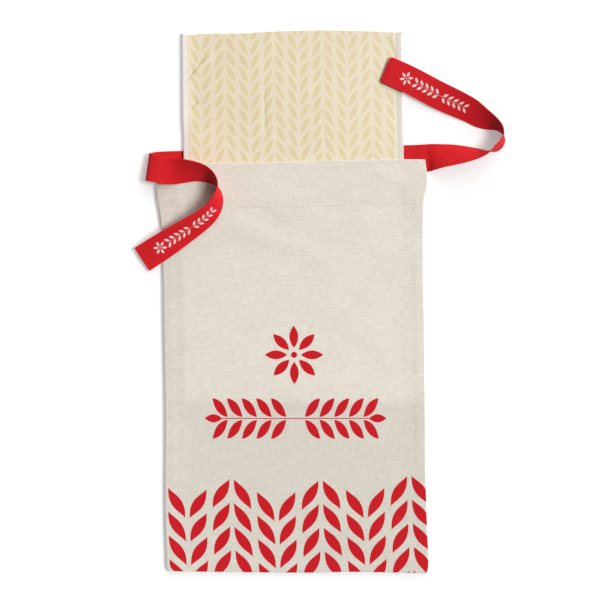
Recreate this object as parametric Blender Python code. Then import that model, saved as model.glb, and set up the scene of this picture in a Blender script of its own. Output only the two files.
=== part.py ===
"""A linen bread bag lying flat on a table, seen from above: a linen outer bag, a waxed cotton liner drawn
a third of the way out of its mouth, and a red tape tie sewn across the back, its two tails loose.

Metres, +Z up. X runs across the bag and Y from its bottom to its mouth. The origin is the centre of the
bag's flat underside, on the table.
"""

from bisect import bisect_right
from math import cos, dist, hypot, radians, sin

import bmesh
import bpy
from mathutils import Vector

MM = 0.001

# Cloth, in millimetres as every size below is.
LINEN = 1.2
LINER = 1.0
TAPE = 1.0
TURNED_EDGE = 0.6  # what a hem or a seam allowance adds to the linen
GAP = 0.3  # air between two pieces that lie on each other
ROUNDING = 0.5  # how far a fold's corner is rounded off

# Outer bag: its two side edges, its bottom edge and its mouth.
BAG_SIDES = (
    # y, left, right
    (-207.0, -122.6, 129.2),
    (-203.0, -127.6, 131.8),
    (-199.0, -128.7, 132.6),
    (-190.0, -128.9, 132.7),
    (-161.0, -130.0, 131.4),
    (-114.0, -130.3, 130.0),
    (-54.0, -130.0, 129.5),
    (44.0, -131.6, 128.5),
    (93.0, -132.3, 127.6),
    (140.0, -134.2, 127.5),
    (160.0, -136.6, 127.9),
    (171.0, -138.6, 129.0),
    (182.0, -138.8, 131.4),
    (195.0, -138.6, 130.9),
    (208.0, -138.4, 129.2),
)
BAG_BOTTOM = (
    # x, y
    (-140.0, -204.6),
    (-110.0, -205.0),
    (10.0, -206.2),
    (60.0, -205.4),
    (135.0, -207.0),
)
BAG_MOUTH = (
    # x, y
    (-140.0, 202.3),
    (-44.0, 202.5),
    (5.0, 203.8),
    (107.0, 206.3),
    (135.0, 206.1),
)
HEM_DEPTH = 46.0
ALLOWANCE = 10.0  # the seam's turnings, pressed flat inside the side and bottom edges
EDGE_LIFT = 2.0  # how high the stiff sewn edges stand off the table
EDGE_CURL = 16.0  # how far in from them the back lies flat again

# Liner: a narrower bag, its side seams left as a flat overlocked flange on the outside.
LINER_SIDES = (
    # y, left, right
    (-38.0, -111.0, 108.4),
    (150.0, -111.3, 108.2),
    (203.0, -111.5, 107.9),
    (270.0, -112.3, 106.6),
    (336.0, -112.8, 105.6),
)
LINER_BOTTOM = -38.0
LINER_TOP = (
    # x, y
    (-113.0, 332.0),
    (-107.5, 330.9),
    (-92.0, 331.8),
    (-48.0, 331.9),
    (-32.0, 333.1),
    (20.0, 334.6),
    (55.0, 334.4),
    (106.0, 333.3),
)
FLANGE = 5.0
LINER_CEILING = 9.2  # underside of the liner's front, over the table, clear of the tie
ARCH = 100.0  # how far in from the flange the liner and the linen over it reach their full height
LINER_END_RISE = 26.0

# The linen front lies over the liner and sinks from its end to the bottom seam.
FRONT_CROWN = (
    # y, underside of the front over the table along the bag's middle
    (-206.0, 4.1),
    (-193.0, 4.4),
    (-170.0, 5.6),
    (-125.0, 7.2),
    (-60.0, 8.2),
    (-46.0, 8.6),
    (-26.0, 10.4),
    (-10.0, 10.7),
    (210.0, 10.7),
)
OVER_FLANGE = 2 * LINER + 2 * GAP + 0.1  # how far the liner's flange lifts the linen front
FRONT_RISE_START = 3.0  # in from the liner's side edge

# Soft folds that stand up as low ridges.
FRONT_FOLDS = (
    # start x, start y, end x, end y, height, half width
    (-72.0, 144.0, 40.0, 102.0, 1.2, 17.0),
    (70.0, 199.0, 124.0, 174.0, 0.7, 13.0),
)
LINER_FOLDS = (
    # start x, start y, end x, end y, height, half width
    (-108.0, 286.0, -82.0, 314.0, 0.9, 9.0),
)

# The tape lifts the back of the bag's mouth, and the mouth lifts the liner.
TAPE_LIFT = TAPE + GAP
LIFT_START = 158.0
LIFT_END = 186.0
LINER_RAMP_TOP = 209.0
LINER_RAMP_FOOT = 262.0
UPPER_LIFT = 1.6  # the stiffer upper layers rise more and sooner, and come down at the liner's mouth
UPPER_LIFT_START = 108.0
UPPER_LIFT_END = 338.0

# Tape tie, from the end of its left tail, behind the bag, to the end of its right tail.
TAPE_WIDTH = 27.5
TAPE_END_TURN = 5.0
TIE_ROUTE = (
    # x, y, foot, direction, lean
    # foot is the height of what the tape's lower edge stands on. direction is that of its width in plan,
    # and lean its tilt, both in degrees: 0 lies flat, 90 stands on edge, 180 lies flat on its other face.
    (-153.3, 106.4, 4.2, -56.5, 176.0),
    (-140.0, 114.8, 6.3, -56.5, 170.0),
    (-125.5, 124.0, 6.3, -56.5, 159.0),
    (-111.2, 133.1, 6.6, -56.0, 147.0),
    (-99.2, 140.9, 8.0, -54.0, 139.0),
    (-88.8, 148.5, 9.4, -46.0, 132.0),
    (-81.0, 157.0, 10.9, -32.0, 123.0),
    (-77.0, 166.0, 11.6, -15.0, 112.0),
    (-76.2, 172.6, 11.6, -3.0, 101.0),
    (-76.8, 177.8, 11.5, 14.0, 90.0),
    (-78.8, 181.6, 11.2, 30.0, 80.0),
    (-82.6, 185.8, 10.8, 46.0, 69.0),
    (-88.9, 190.3, 10.4, 66.0, 58.0),
    (-96.8, 193.0, 9.8, 83.0, 50.0),
    (-107.5, 194.0, 8.9, 90.0, 38.0),
    (-118.5, 194.0, 8.6, 88.0, 23.0),
    (-131.0, 194.7, 10.0, 79.0, 6.0),
    (-139.0, 196.5, 11.4, 76.0, 0.0),
    (-144.6, 197.9, 9.9, 78.0, 0.0),
    (-146.7, 198.6, 6.2, 82.0, 0.0),
    (-144.3, 199.4, 2.2, 86.0, 0.0),
    (-138.5, 200.4, 0.3, 89.0, 0.0),
    (-128.0, 201.0, 0.0, 91.0, 0.0),
    (-60.0, 202.8, 0.0, 91.3, 0.0),
    (60.0, 205.8, 0.0, 91.3, 0.0),
    (118.0, 207.3, 0.0, 91.5, 0.0),
    (131.5, 208.0, 0.0, 93.0, 0.0),
    (138.0, 208.9, 0.0, 95.0, -16.0),
    (146.0, 209.9, 0.0, 97.0, -29.0),
    (159.5, 211.3, 0.0, 97.0, -43.0),
    (176.8, 212.4, 0.0, 97.0, -63.0),
    (187.3, 213.5, 0.0, 104.0, -78.0),
    (194.3, 214.7, 0.0, 125.0, -90.0),
    (200.3, 217.1, 0.0, 152.0, -104.0),
    (205.0, 223.2, 0.0, 171.0, -104.0),
    (205.7, 229.8, 0.0, 190.0, -94.0),
    (202.1, 236.3, 0.0, 217.0, -79.0),
    (195.2, 241.6, 0.2, 234.0, -62.0),
    (185.6, 247.0, 0.8, 240.0, -46.0),
    (173.4, 255.0, 1.8, 242.0, -31.0),
    (142.4, 269.8, 3.8, 243.0, -9.0),
    (112.7, 285.2, 4.8, 245.0, -3.0),
    (90.2, 295.2, 6.1, 247.5, 0.0),
)

# Where the cloth's grids have their lines.
EDGE_COLUMNS = (0.0, 1.6, 8.8, 11.6)  # in from the bag's side edge
RISE_COLUMNS = (0.0, 5.0, 12.0, 20.0, 28.0, 36.0, 43.0)  # in from the liner's side edge
OUTSIDE_LINER = 6.5  # from the liner's side edge out to the line where the linen front starts to rise
MIDDLE_COLUMNS = 6
BAG_ROWS = (
    (-207, -205.4, -198.2, -195.4, -186, -176, -162, -142, -120, -95, -70, -52, -46, -40, -33, -26, -18)
    + (-8, 12, 32, 52, 70, 84, 96, 106, 116, 126, 136, 146, 156, 160, 168, 176, 184, 192, 200, 208)
)
LINER_ROWS = (
    (-38, -36.4, -33, -26, -18, -8, 12, 32, 52, 70, 84, 96, 106, 116, 126, 136, 146, 156, 160, 168, 176)
    + (184, 192, 200, 208, 218, 230, 243, 256, 270, 280, 288, 296, 304, 312, 320, 328, 336)
)
TAPE_STEP = 14.0
TAPE_BEND_STEP = 2.6


# The soft ends of the steps in the cloth.
HEM_STEP = 3.0
TURNING_STEP = 2.8


def clear_scene():
    for obj in list(bpy.data.objects):
        bpy.data.objects.remove(obj)


def cloth_material(name, colour, roughness):
    material = bpy.data.materials.new(name)
    material.use_nodes = True
    shader = material.node_tree.nodes["Principled BSDF"]
    shader.inputs["Base Color"].default_value = (*colour, 1.0)
    shader.inputs["Roughness"].default_value = roughness
    shader.inputs["Metallic"].default_value = 0.0
    return material


def ease(start, end, at):
    """0 before start and 1 after end, in a smooth S. Start may be the larger of the two."""
    share = min(1.0, max(0.0, (at - start) / (end - start)))
    return share * share * (3 - 2 * share)


def smooth_row(table, at):
    """The row of a table at a key between its own, on a smooth curve. The first column is the key."""
    last = len(table) - 1
    here = min(max(bisect_right([row[0] for row in table], at) - 1, 0), last - 1)
    low, high = table[here], table[here + 1]
    before, after = table[max(here - 1, 0)], table[min(here + 2, last)]
    span = high[0] - low[0]
    t = min(1.0, max(0.0, (at - low[0]) / span))
    values = []
    for column in range(1, len(low)):
        leave = span * (high[column] - before[column]) / (high[0] - before[0])
        arrive = span * (after[column] - low[column]) / (after[0] - low[0])
        rise = high[column] - low[column]
        bend = t * (1 - t) * ((1 - t) * (leave - rise) - t * (arrive - rise))
        values.append(low[column] + rise * t + bend)
    return values


def ridge(folds, x, y):
    """Height that the soft folds add at a place."""
    height = 0.0
    for x0, y0, x1, y1, crest, half_width in folds:
        length = hypot(x1 - x0, y1 - y0)
        along = ((x - x0) * (x1 - x0) + (y - y0) * (y1 - y0)) / length
        aside = ((y - y0) * (x1 - x0) - (x - x0) * (y1 - y0)) / length
        ends = ease(0, half_width, along) * ease(length, length - half_width, along)
        height += crest * ends * ease(half_width, 0, abs(aside))
    return height


def in_from_edge(x, y):
    """Distance in from the bag's nearest closed edge."""
    left, right = smooth_row(BAG_SIDES, y)
    return min(x - left, right - x, y - smooth_row(BAG_BOTTOM, x)[0])


def in_from_liner_side(x, y):
    left, right = smooth_row(LINER_SIDES, y)
    return min(x - left, right - x)


def hem(x, y):
    """1 where the bag's mouth is turned down inside."""
    foot = smooth_row(BAG_MOUTH, x)[0] - HEM_DEPTH
    return ease(foot, foot + HEM_STEP, y)


def doubled(x, y):
    """1 where the linen is turned back on itself: the mouth's hem and the seams' allowances."""
    turning = ease(ALLOWANCE + TURNING_STEP / 2, ALLOWANCE - TURNING_STEP / 2, in_from_edge(x, y))
    return max(hem(x, y), turning)


def tie_lift(y):
    return TAPE_LIFT * ease(LIFT_START, LIFT_END, y)


def upper_lift(y):
    """How far the tie lifts the two fronts along the middle."""
    return UPPER_LIFT * ease(UPPER_LIFT_START, LIFT_START, y) * ease(UPPER_LIFT_END, LINER_RAMP_FOOT, y)


def back_lies(x, y):
    """Height of the back's underside, before its edge is rounded."""
    curl = max(0.0, 1 - in_from_edge(x, y) / EDGE_CURL)
    return tie_lift(y) + EDGE_LIFT * curl * curl


def back_under(x, y):
    return back_lies(x, y) + ROUNDING * ease(ROUNDING, 0, in_from_edge(x, y))


def back_over(x, y):
    return back_lies(x, y) + LINEN + TURNED_EDGE * doubled(x, y)


def arch(distance):
    """The cloth's rise from 0 at its held side to 1 further in."""
    share = min(1.0, max(0.0, distance / ARCH))
    return share * (2 - share)


def front_under(x, y):
    """It spans level from the seam to the liner's flange, and arches over the liner."""
    seam = EDGE_LIFT + LINEN + TURNED_EDGE + GAP
    over_flange = LINEN + TURNED_EDGE * max(hem(x, y), hem(0.0, y)) + GAP + OVER_FLANGE
    level = tie_lift(y) + seam + (over_flange - seam) * ease(0, ALLOWANCE, in_from_edge(x, y))
    crown = max(smooth_row(FRONT_CROWN, y)[0] + upper_lift(y) - level, 0.0)
    return level + crown * arch(in_from_liner_side(x, y) - FRONT_RISE_START) + ridge(FRONT_FOLDS, x, y)


def front_over(x, y):
    thickness = LINEN + TURNED_EDGE * doubled(x, y)
    return front_under(x, y) + thickness - ROUNDING * ease(ROUNDING, 0, in_from_edge(x, y))


def liner_back_under(x, y):
    """It lies on the bag's back, climbs over the mouth's hem and comes down to the table."""
    inside = back_over(0.0, y) + GAP
    return inside * ease(LINER_RAMP_FOOT, LINER_RAMP_TOP, y)


def liner_back_over(x, y):
    return liner_back_under(x, y) + LINER


def liner_front_under(x, y):
    flange = liner_back_over(x, y) + GAP
    side = arch(in_from_liner_side(x, y) - FLANGE)
    end = ease(LINER_BOTTOM + FLANGE, LINER_BOTTOM + FLANGE + LINER_END_RISE, y)
    rise = LINER_CEILING + upper_lift(y) - flange
    return flange + rise * side * end + ridge(LINER_FOLDS, x, y) * side


def liner_front_over(x, y):
    return liner_front_under(x, y) + LINER


def middle_columns(left, right):
    share = [k / MIDDLE_COLUMNS for k in range(1, MIDDLE_COLUMNS)]
    inner_left, inner_right = left + RISE_COLUMNS[-1], right - RISE_COLUMNS[-1]
    return [inner_left + (inner_right - inner_left) * s for s in share]


def liner_columns(y):
    left, right = smooth_row(LINER_SIDES, y)
    return (
        [left + c for c in RISE_COLUMNS]
        + middle_columns(left, right)
        + [right - c for c in reversed(RISE_COLUMNS)]
    )


def bag_columns(y):
    left, right = smooth_row(BAG_SIDES, y)
    inner = liner_columns(y)
    return (
        [left + c for c in EDGE_COLUMNS]
        + [inner[0] - OUTSIDE_LINER]
        + inner
        + [inner[-1] + OUTSIDE_LINER]
        + [right - c for c in reversed(EDGE_COLUMNS)]
    )


def inside_the_edges(x, y, bottom, top, first, last):
    """A grid row's y, drawn to the bottom edge at the first row and to the top edge at the last."""
    low, high = smooth_row(bottom, x)[0], smooth_row(top, x)[0]
    return low + (y - first) * (high - low) / (last - first)


def cloth_panel(name, material, rows, columns, ends, under, over):
    """A closed sheet on a grid, its lower side at under(x, y) and its upper side at over(x, y)."""
    bm = bmesh.new()
    wide = len(columns(rows[0])) - 1
    deep = len(rows) - 1
    bmesh.ops.create_grid(bm, x_segments=wide, y_segments=deep, size=0.5)
    for vert in bm.verts:
        column = round((vert.co.x + 0.5) * wide)
        row = round((vert.co.y + 0.5) * deep)
        x = columns(rows[row])[column]
        y = inside_the_edges(x, rows[row], *ends, rows[0], rows[-1])
        vert.co = (x, y, under(x, y))
    raised = bmesh.ops.extrude_face_region(bm, geom=bm.faces[:], use_keep_orig=True)
    for vert in raised["geom"]:
        if isinstance(vert, bmesh.types.BMVert):
            vert.co.z = over(vert.co.x, vert.co.y)
    bmesh.ops.scale(bm, vec=(MM, MM, MM), verts=bm.verts)
    bmesh.ops.recalc_face_normals(bm, faces=bm.faces)
    return add_object(name, material, bm)


def add_object(name, material, bm):
    mesh = bpy.data.meshes.new(name)
    bm.to_mesh(mesh)
    bm.free()
    mesh.materials.append(material)
    mesh.shade_smooth()
    mesh.set_sharp_from_angle(angle=radians(40))
    obj = bpy.data.objects.new(name, mesh)
    bpy.context.scene.collection.objects.link(obj)
    return obj


def tape_centre(row):
    x, y, foot, _, lean = row
    tilt = radians(lean)
    return Vector((x, y, foot + TAPE / 2 * abs(cos(tilt)) + TAPE_WIDTH / 2 * abs(sin(tilt))))


def tape_across(row):
    """Unit vector across the tape, from its lower long edge to its upper one as it lies behind the bag."""
    direction, tilt = radians(row[3]), radians(row[4])
    return Vector((cos(tilt) * cos(direction), cos(tilt) * sin(direction), sin(tilt)))


def tie_sections():
    """The tie's cross-sections, closer together where it turns, and how much each is doubled."""
    travelled = [0.0]
    for row, following in zip(TIE_ROUTE, TIE_ROUTE[1:]):
        travelled.append(travelled[-1] + dist(tape_centre(row), tape_centre(following)))
    table = [(key, *row) for key, row in zip(travelled, TIE_ROUTE)]
    turn = travelled[-1] - TAPE_END_TURN
    keys = [turn - TAPE / 2, turn + TAPE / 2, travelled[-1]]
    for start, end in zip(table, table[1:]):
        bends = abs(end[4] - start[4]) + abs(end[5] - start[5]) > 5 or end[0] - start[0] < 9
        count = max(1, round((end[0] - start[0]) / (TAPE_BEND_STEP if bends else TAPE_STEP)))
        keys += [start[0] + (end[0] - start[0]) * k / count for k in range(count)]
    return [(smooth_row(table, key), ease(turn - TAPE / 2, turn + TAPE / 2, key)) for key in sorted(keys)]


def tie_tape(material):
    """One length of tape, a closed strip skinned over its cross-sections, turned under at its right end."""
    bm = bmesh.new()
    sections = tie_sections()
    centres = [tape_centre(row) for row, _ in sections]
    rings = []
    for k, (row, turned) in enumerate(sections):
        ahead = centres[min(k + 1, len(centres) - 1)] - centres[max(k - 1, 0)]
        across = tape_across(row)
        face = ahead.cross(across).normalized()
        half, top, bottom = TAPE_WIDTH / 2, TAPE / 2, -TAPE * (0.5 + turned)
        corners = ((-half, bottom), (half, bottom), (half, top), (-half, top))
        rings.append([bm.verts.new((centres[k] + across * a + face * f) * MM) for a, f in corners])
    for ring, following in zip(rings, rings[1:]):
        for k in range(4):
            n = (k + 1) % 4
            bm.faces.new((ring[k], ring[n], following[n], following[k]))
    bm.faces.new(rings[0])
    bm.faces.new(rings[-1])
    bmesh.ops.recalc_face_normals(bm, faces=bm.faces)
    return add_object("tie_tape", material, bm)


def build():
    clear_scene()
    linen = cloth_material("natural linen", (0.76, 0.70, 0.62), 0.9)
    waxed = cloth_material("waxed printed cotton", (0.85, 0.77, 0.60), 0.6)
    red = cloth_material("red cotton tape", (0.60, 0.02, 0.03), 0.8)
    bag_ends = (BAG_BOTTOM, BAG_MOUTH)
    liner_ends = (((-120.0, LINER_BOTTOM), (120.0, LINER_BOTTOM)), LINER_TOP)
    cloth_panel("bag_back", linen, BAG_ROWS, bag_columns, bag_ends, back_under, back_over)
    cloth_panel("bag_front", linen, BAG_ROWS, bag_columns, bag_ends, front_under, front_over)
    cloth_panel(
        "liner_back", waxed, LINER_ROWS, liner_columns, liner_ends, liner_back_under, liner_back_over
    )
    cloth_panel(
        "liner_front", waxed, LINER_ROWS, liner_columns, liner_ends, liner_front_under, liner_front_over
    )
    tie_tape(red)


build()
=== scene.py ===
from bisect import bisect_right
from math import cos, dist, exp, hypot, pi, radians, sin, sqrt

import bmesh
import bpy
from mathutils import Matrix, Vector, noise


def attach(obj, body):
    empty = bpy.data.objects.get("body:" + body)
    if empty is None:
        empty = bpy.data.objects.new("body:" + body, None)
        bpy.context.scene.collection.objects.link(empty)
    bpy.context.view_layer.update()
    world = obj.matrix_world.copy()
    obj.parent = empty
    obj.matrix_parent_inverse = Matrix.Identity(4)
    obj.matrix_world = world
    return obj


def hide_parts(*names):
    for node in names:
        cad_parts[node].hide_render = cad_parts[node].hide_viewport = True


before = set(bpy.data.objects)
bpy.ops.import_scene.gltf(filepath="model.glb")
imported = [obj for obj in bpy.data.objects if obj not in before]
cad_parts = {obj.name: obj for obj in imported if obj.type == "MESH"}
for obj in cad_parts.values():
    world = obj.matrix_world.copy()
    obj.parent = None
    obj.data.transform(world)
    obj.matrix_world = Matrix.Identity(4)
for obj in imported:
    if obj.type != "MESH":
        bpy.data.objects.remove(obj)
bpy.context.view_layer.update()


# --------------------
# Bag back. The back panel of the linen bag: one cut of unbleached linen, plain weave, not printed. It lies
# on the table, its sewn edges a little off it. Its side and bottom turnings are pressed to the inside, and
# its mouth is hemmed and lies over the tie, which lifts it.
# --------------------
MM = 0.001  # the sizes below are millimetres, and meshes are metres

LINEN = 1.2
TURNED_EDGE = 0.6  # what a hem or a pressed turning adds to the linen
GAP = 0.3  # air between two cloths that lie on each other
BAG_WIDTH = 260.0
BAG_LENGTH = 411.0
HEM_DEPTH = 46.0
ALLOWANCE = 10.0  # the width of the turnings inside its seams
HEM_STEP = 10.0  # over what distance the hem's thickness tapers off
TURNING_STEP = 4.0
EDGE_LIFT = 2.0  # how high the stiff sewn edges stand off the table
EDGE_CURL = 16.0  # how far in from them the back lies flat again
SEAM_ROUND = 1.0  # radius of the bag's sewn and turned edges
FOLD_ROUND = 0.9  # radius of a hem's folded edge
SEAM_SHARE = 0.92  # the share of its thickness that a panel's outer face turns in by at a seam
FOLD_SHARE = 0.46  # the same for each face at a folded or cut edge
TAPE = 1.0
TAPE_LIFT = TAPE + GAP
LIFT_START = 158.0  # where the cloths begin to rise over the tie
LIFT_END = 186.0
EDGE_STEPS = (0.0, 0.12, 0.35, 0.7, 1.2, 1.9)  # the grid's lines next to an edge, which draw its rounding
BACK_MESH = 2.9
LINEN_DARK = (0.530, 0.485, 0.417)
LINEN_LIGHT = (0.820, 0.787, 0.728)
CLOTH_ROUGH = 1.0  # fibres scatter light back the way it came, so slopes look nearly as light as flats
WARP_PITCH = 0.82
WEFT_PITCH = 0.88

BAG_SIDES = (
    # y, left, right
    (-207.0, -125.0, 130.4),
    (-203.0, -128.2, 132.1),
    (-199.0, -128.8, 132.6),
    (-190.0, -128.9, 132.7),
    (-161.0, -130.0, 131.4),
    (-114.0, -130.3, 130.0),
    (-54.0, -130.0, 129.5),
    (44.0, -131.6, 128.5),
    (93.0, -132.3, 127.6),
    (140.0, -134.2, 127.5),
    (160.0, -136.6, 127.9),
    (171.0, -138.6, 129.0),
    (182.0, -138.8, 131.4),
    (195.0, -138.6, 130.9),
    (208.0, -138.4, 129.2),
)
CORNERS_END = BAG_SIDES[3][0]  # above it the sides aren't rounded off
CORNER_REACH = 24.0  # how far in the rounding moves the grid
BAG_BOTTOM = (
    # x, y
    (-140.0, -204.6),
    (-110.0, -205.0),
    (10.0, -206.2),
    (60.0, -205.4),
    (135.0, -207.0),
)
BAG_MOUTH = (
    # x, y
    (-140.0, 202.3),
    (-44.0, 202.5),
    (5.0, 203.8),
    (107.0, 206.3),
    (135.0, 206.1),
)


def ease(start, end, at):
    """0 before start and 1 after end, in a smooth S. Start may be the larger of the two."""
    share = min(1.0, max(0.0, (at - start) / (end - start)))
    return share * share * (3 - 2 * share)


def curve_through(table):
    """A function of the table's first column that gives its other columns, on a smooth curve."""
    keys = [row[0] for row in table]
    last = len(table) - 1

    def at(key):
        here = min(max(bisect_right(keys, key) - 1, 0), last - 1)
        low, high = table[here], table[here + 1]
        before, after = table[max(here - 1, 0)], table[min(here + 2, last)]
        span = high[0] - low[0]
        t = min(1.0, max(0.0, (key - low[0]) / span))
        values = []
        for column in range(1, len(low)):
            leave = span * (high[column] - before[column]) / (high[0] - before[0])
            arrive = span * (after[column] - low[column]) / (after[0] - low[0])
            rise = high[column] - low[column]
            bend = t * (1 - t) * ((1 - t) * (leave - rise) - t * (arrive - rise))
            values.append(low[column] + rise * t + bend)
        return values

    return at


bag_sides = curve_through(BAG_SIDES)
bag_bottom = curve_through(BAG_BOTTOM)
bag_mouth = curve_through(BAG_MOUTH)


def even_steps(start, end, count):
    return [start + (end - start) * k / count for k in range(count + 1)]


def grid_shares(length, pitch):
    """Places along a cloth from 0 to 1, about a pitch apart and closer together at both ends."""
    first, last = EDGE_STEPS[-1], length - EDGE_STEPS[-1]
    middle = even_steps(first, last, round((last - first) / pitch))[1:-1]
    places = [*EDGE_STEPS, *middle, *[length - step for step in reversed(EDGE_STEPS)]]
    return [place / length for place in places]


def roll(distance, radius):
    """How far an edge of that radius has turned down at a distance in from it: 1 at the edge, 0 inside."""
    inside = 1 - min(1.0, max(0.0, distance / radius))
    return 1 - sqrt(1 - inside * inside)


def lay_cloth(name, across, along, lies):
    """A closed sheet on a grid of those places across and along it. lies(a, b, side) is where a point was on
    the flat cut, which the mesh keeps for the materials, and where it is now, in millimetres. side is 1 on
    the cloth's upper face and -1 on its lower one."""
    wide, deep = len(across) - 1, len(along) - 1
    cloth = bmesh.new()
    flat = cloth.verts.layers.float_vector.new("cloth")
    bmesh.ops.create_grid(cloth, x_segments=wide, y_segments=deep, size=0.5)
    for point in cloth.verts:
        point.co = (round((point.co.x + 0.5) * wide), round((point.co.y + 0.5) * deep), -1)
    raised = bmesh.ops.extrude_face_region(cloth, geom=cloth.faces[:], use_keep_orig=True)
    for point in raised["geom"]:
        if isinstance(point, bmesh.types.BMVert):
            point.co.z = 1
    for point in cloth.verts:
        column, row, side = [round(part) for part in point.co]
        place, point.co = lies(across[column], along[row], side)
        point[flat] = (*place, side)
    return finish_mesh(name, cloth)


def lay_panel(name, size, pitch, place, under, over, sag=lambda x, y: 0.0):
    """A cut panel on a fine grid. place(s, t) gives its outline, and sag(x, y) how far its grain is off."""

    def lies(s, t, side):
        x, y = place(s, t)
        height = over(x, y) if side > 0 else under(x, y)
        return ((s - 0.5) * size[0], y + sag(x, y)), (x, y, height)

    return lay_cloth(name, grid_shares(size[0], pitch), grid_shares(size[1], pitch), lies)


def finish_mesh(name, shape):
    """Turns a shape in millimetres into a piece in metres."""
    bmesh.ops.scale(shape, vec=(MM, MM, MM), verts=shape.verts)
    bmesh.ops.recalc_face_normals(shape, faces=shape.faces)
    mesh = bpy.data.meshes.new(name)
    shape.to_mesh(mesh)
    shape.free()
    return show_piece(name, mesh)


def put_in_scene(name, data):
    thing = bpy.data.objects.new(name, data)
    bpy.context.scene.collection.objects.link(thing)
    return thing


def show_piece(name, mesh):
    """A smooth-shaded object with that mesh, riding on the one body."""
    mesh.shade_smooth()
    piece = put_in_scene(name, mesh)
    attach(piece, "root")
    return piece


def place_on_bag(s, t):
    """A point of either panel, from its shares of the bag's width and height."""
    y = BAG_SIDES[0][0] + t * (BAG_SIDES[-1][0] - BAG_SIDES[0][0])
    left, right = bag_sides(max(y, CORNERS_END))
    x = left + s * (right - left)
    cut_left, cut_right = bag_sides(y)
    x += (cut_left - left) * ease(CORNER_REACH, 0.0, x - left)
    x += (cut_right - right) * ease(CORNER_REACH, 0.0, right - x)
    low, high = bag_bottom(x)[0], bag_mouth(x)[0]
    return x, low + t * (high - low)


def in_from_seam(x, y):
    """Distance in from the bag's nearest sewn edge."""
    left, right = bag_sides(y)
    return min(x - left, right - x, y - bag_bottom(x)[0])


def in_from_mouth(x, y):
    return bag_mouth(x)[0] - y


def hem(x, y):
    """1 where the bag's mouth is turned down inside."""
    return ease(HEM_DEPTH, HEM_DEPTH - HEM_STEP, in_from_mouth(x, y))


def doubled(x, y):
    """1 where the linen is turned back on itself: the mouth's hem and the seams' allowances."""
    turning = ease(ALLOWANCE + TURNING_STEP / 2, ALLOWANCE - TURNING_STEP / 2, in_from_seam(x, y))
    return max(hem(x, y), turning)


def tie_lift(y):
    return TAPE_LIFT * ease(LIFT_START, LIFT_END, y)


def back_lies(x, y):
    """Height of the back panel's underside, before its edges are rounded."""
    curl = max(0.0, 1 - in_from_seam(x, y) / EDGE_CURL)
    return tie_lift(y) + EDGE_LIFT * curl * curl


def linen_thickness(x, y):
    return LINEN + TURNED_EDGE * doubled(x, y)


def back_inside(x, y):
    """The back panel's upper face, before its hem's edge is rounded."""
    return back_lies(x, y) + linen_thickness(x, y)


def outer_roll(x, y):
    """The share of its thickness that a panel's outer face has turned in by."""
    at_seam = SEAM_SHARE * roll(in_from_seam(x, y), SEAM_ROUND)
    return max(at_seam, FOLD_SHARE * roll(in_from_mouth(x, y), FOLD_ROUND))


def inner_roll(x, y):
    """The same for its inner face, which turns only at the mouth's folded edge."""
    off_seam = 1 - roll(in_from_seam(x, y), SEAM_ROUND)
    return FOLD_SHARE * roll(in_from_mouth(x, y), FOLD_ROUND) * off_seam


def back_under(x, y):
    return back_lies(x, y) + linen_thickness(x, y) * outer_roll(x, y)


def back_over(x, y):
    return back_inside(x, y) - linen_thickness(x, y) * inner_roll(x, y)


def math_node(operation):
    """A method that puts a Math node on a field, or on a field and another value."""
    return lambda field, *other: field.math(operation, field, *other)


class Field:
    """A value that changes over a surface. Sums and products on it add Math nodes to its material."""

    def __init__(self, tree, socket=None):
        self.tree = tree
        self.socket = socket

    def node(self, kind, settings=None, inputs=None, output=0):
        """Any node, from its kind, its settings and the values or links of its sockets."""
        made = self.tree.nodes.new(kind)
        for name, value in (settings or {}).items():
            setattr(made, name, value)
        for name, value in (inputs or {}).items():
            if isinstance(value, Field):
                self.tree.links.new(value.socket, made.inputs[name])
            else:
                made.inputs[name].default_value = value
        return Field(self.tree, made.outputs[output])

    def math(self, operation, *values):
        return self.node("ShaderNodeMath", {"operation": operation}, dict(enumerate(values)))

    def __rsub__(self, other):
        return self.math("SUBTRACT", other, self)

    __add__ = __radd__ = math_node("ADD")
    __sub__ = math_node("SUBTRACT")
    __mul__ = __rmul__ = math_node("MULTIPLY")
    __truediv__ = math_node("DIVIDE")
    __pow__ = math_node("POWER")
    __abs__ = math_node("ABSOLUTE")
    __lt__ = math_node("LESS_THAN")
    __gt__ = math_node("GREATER_THAN")
    round = math_node("ROUND")
    floor = math_node("FLOOR")
    sine = math_node("SINE")
    cosine = math_node("COSINE")
    larger = math_node("MAXIMUM")
    smaller = math_node("MINIMUM")

    def kept(self):
        """Held between 0 and 1."""
        return self.node("ShaderNodeClamp", None, {0: self, 1: 0.0, 2: 1.0})

    def axes(self):
        """The three parts of a vector."""
        parts = self.tree.nodes.new("ShaderNodeSeparateXYZ")
        self.tree.links.new(self.socket, parts.inputs[0])
        return [Field(self.tree, part) for part in parts.outputs]

    def mottle(self, x, y, long, wide, detail=2.0):
        """Noise from 0 to 1 in patches of that length along x and width along y, in millimetres."""
        place = self.node("ShaderNodeCombineXYZ", None, {0: x / long, 1: y / wide})
        return self.node("ShaderNodeTexNoise", None, {"Vector": place, "Scale": 1.0, "Detail": detail})

    def scaled(self, factor):
        """This colour, times a field."""
        return self.node("ShaderNodeVectorMath", {"operation": "SCALE"}, {0: self, 3: factor})

    def blend(self, first, second):
        """A mix of two colours, or fields of them, with this field as the share of the second."""
        return self.node("ShaderNodeMix", {"data_type": "RGBA"}, {0: self, 6: first, 7: second}, 2)


def colour(rgb):
    return (*rgb, 1.0)


def new_material(name):
    """A plain material, its shader, and a field to write its formulas with."""
    material = bpy.data.materials.new(name)
    material.use_nodes = True
    return material, material.node_tree.nodes["Principled BSDF"], Field(material.node_tree)


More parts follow.
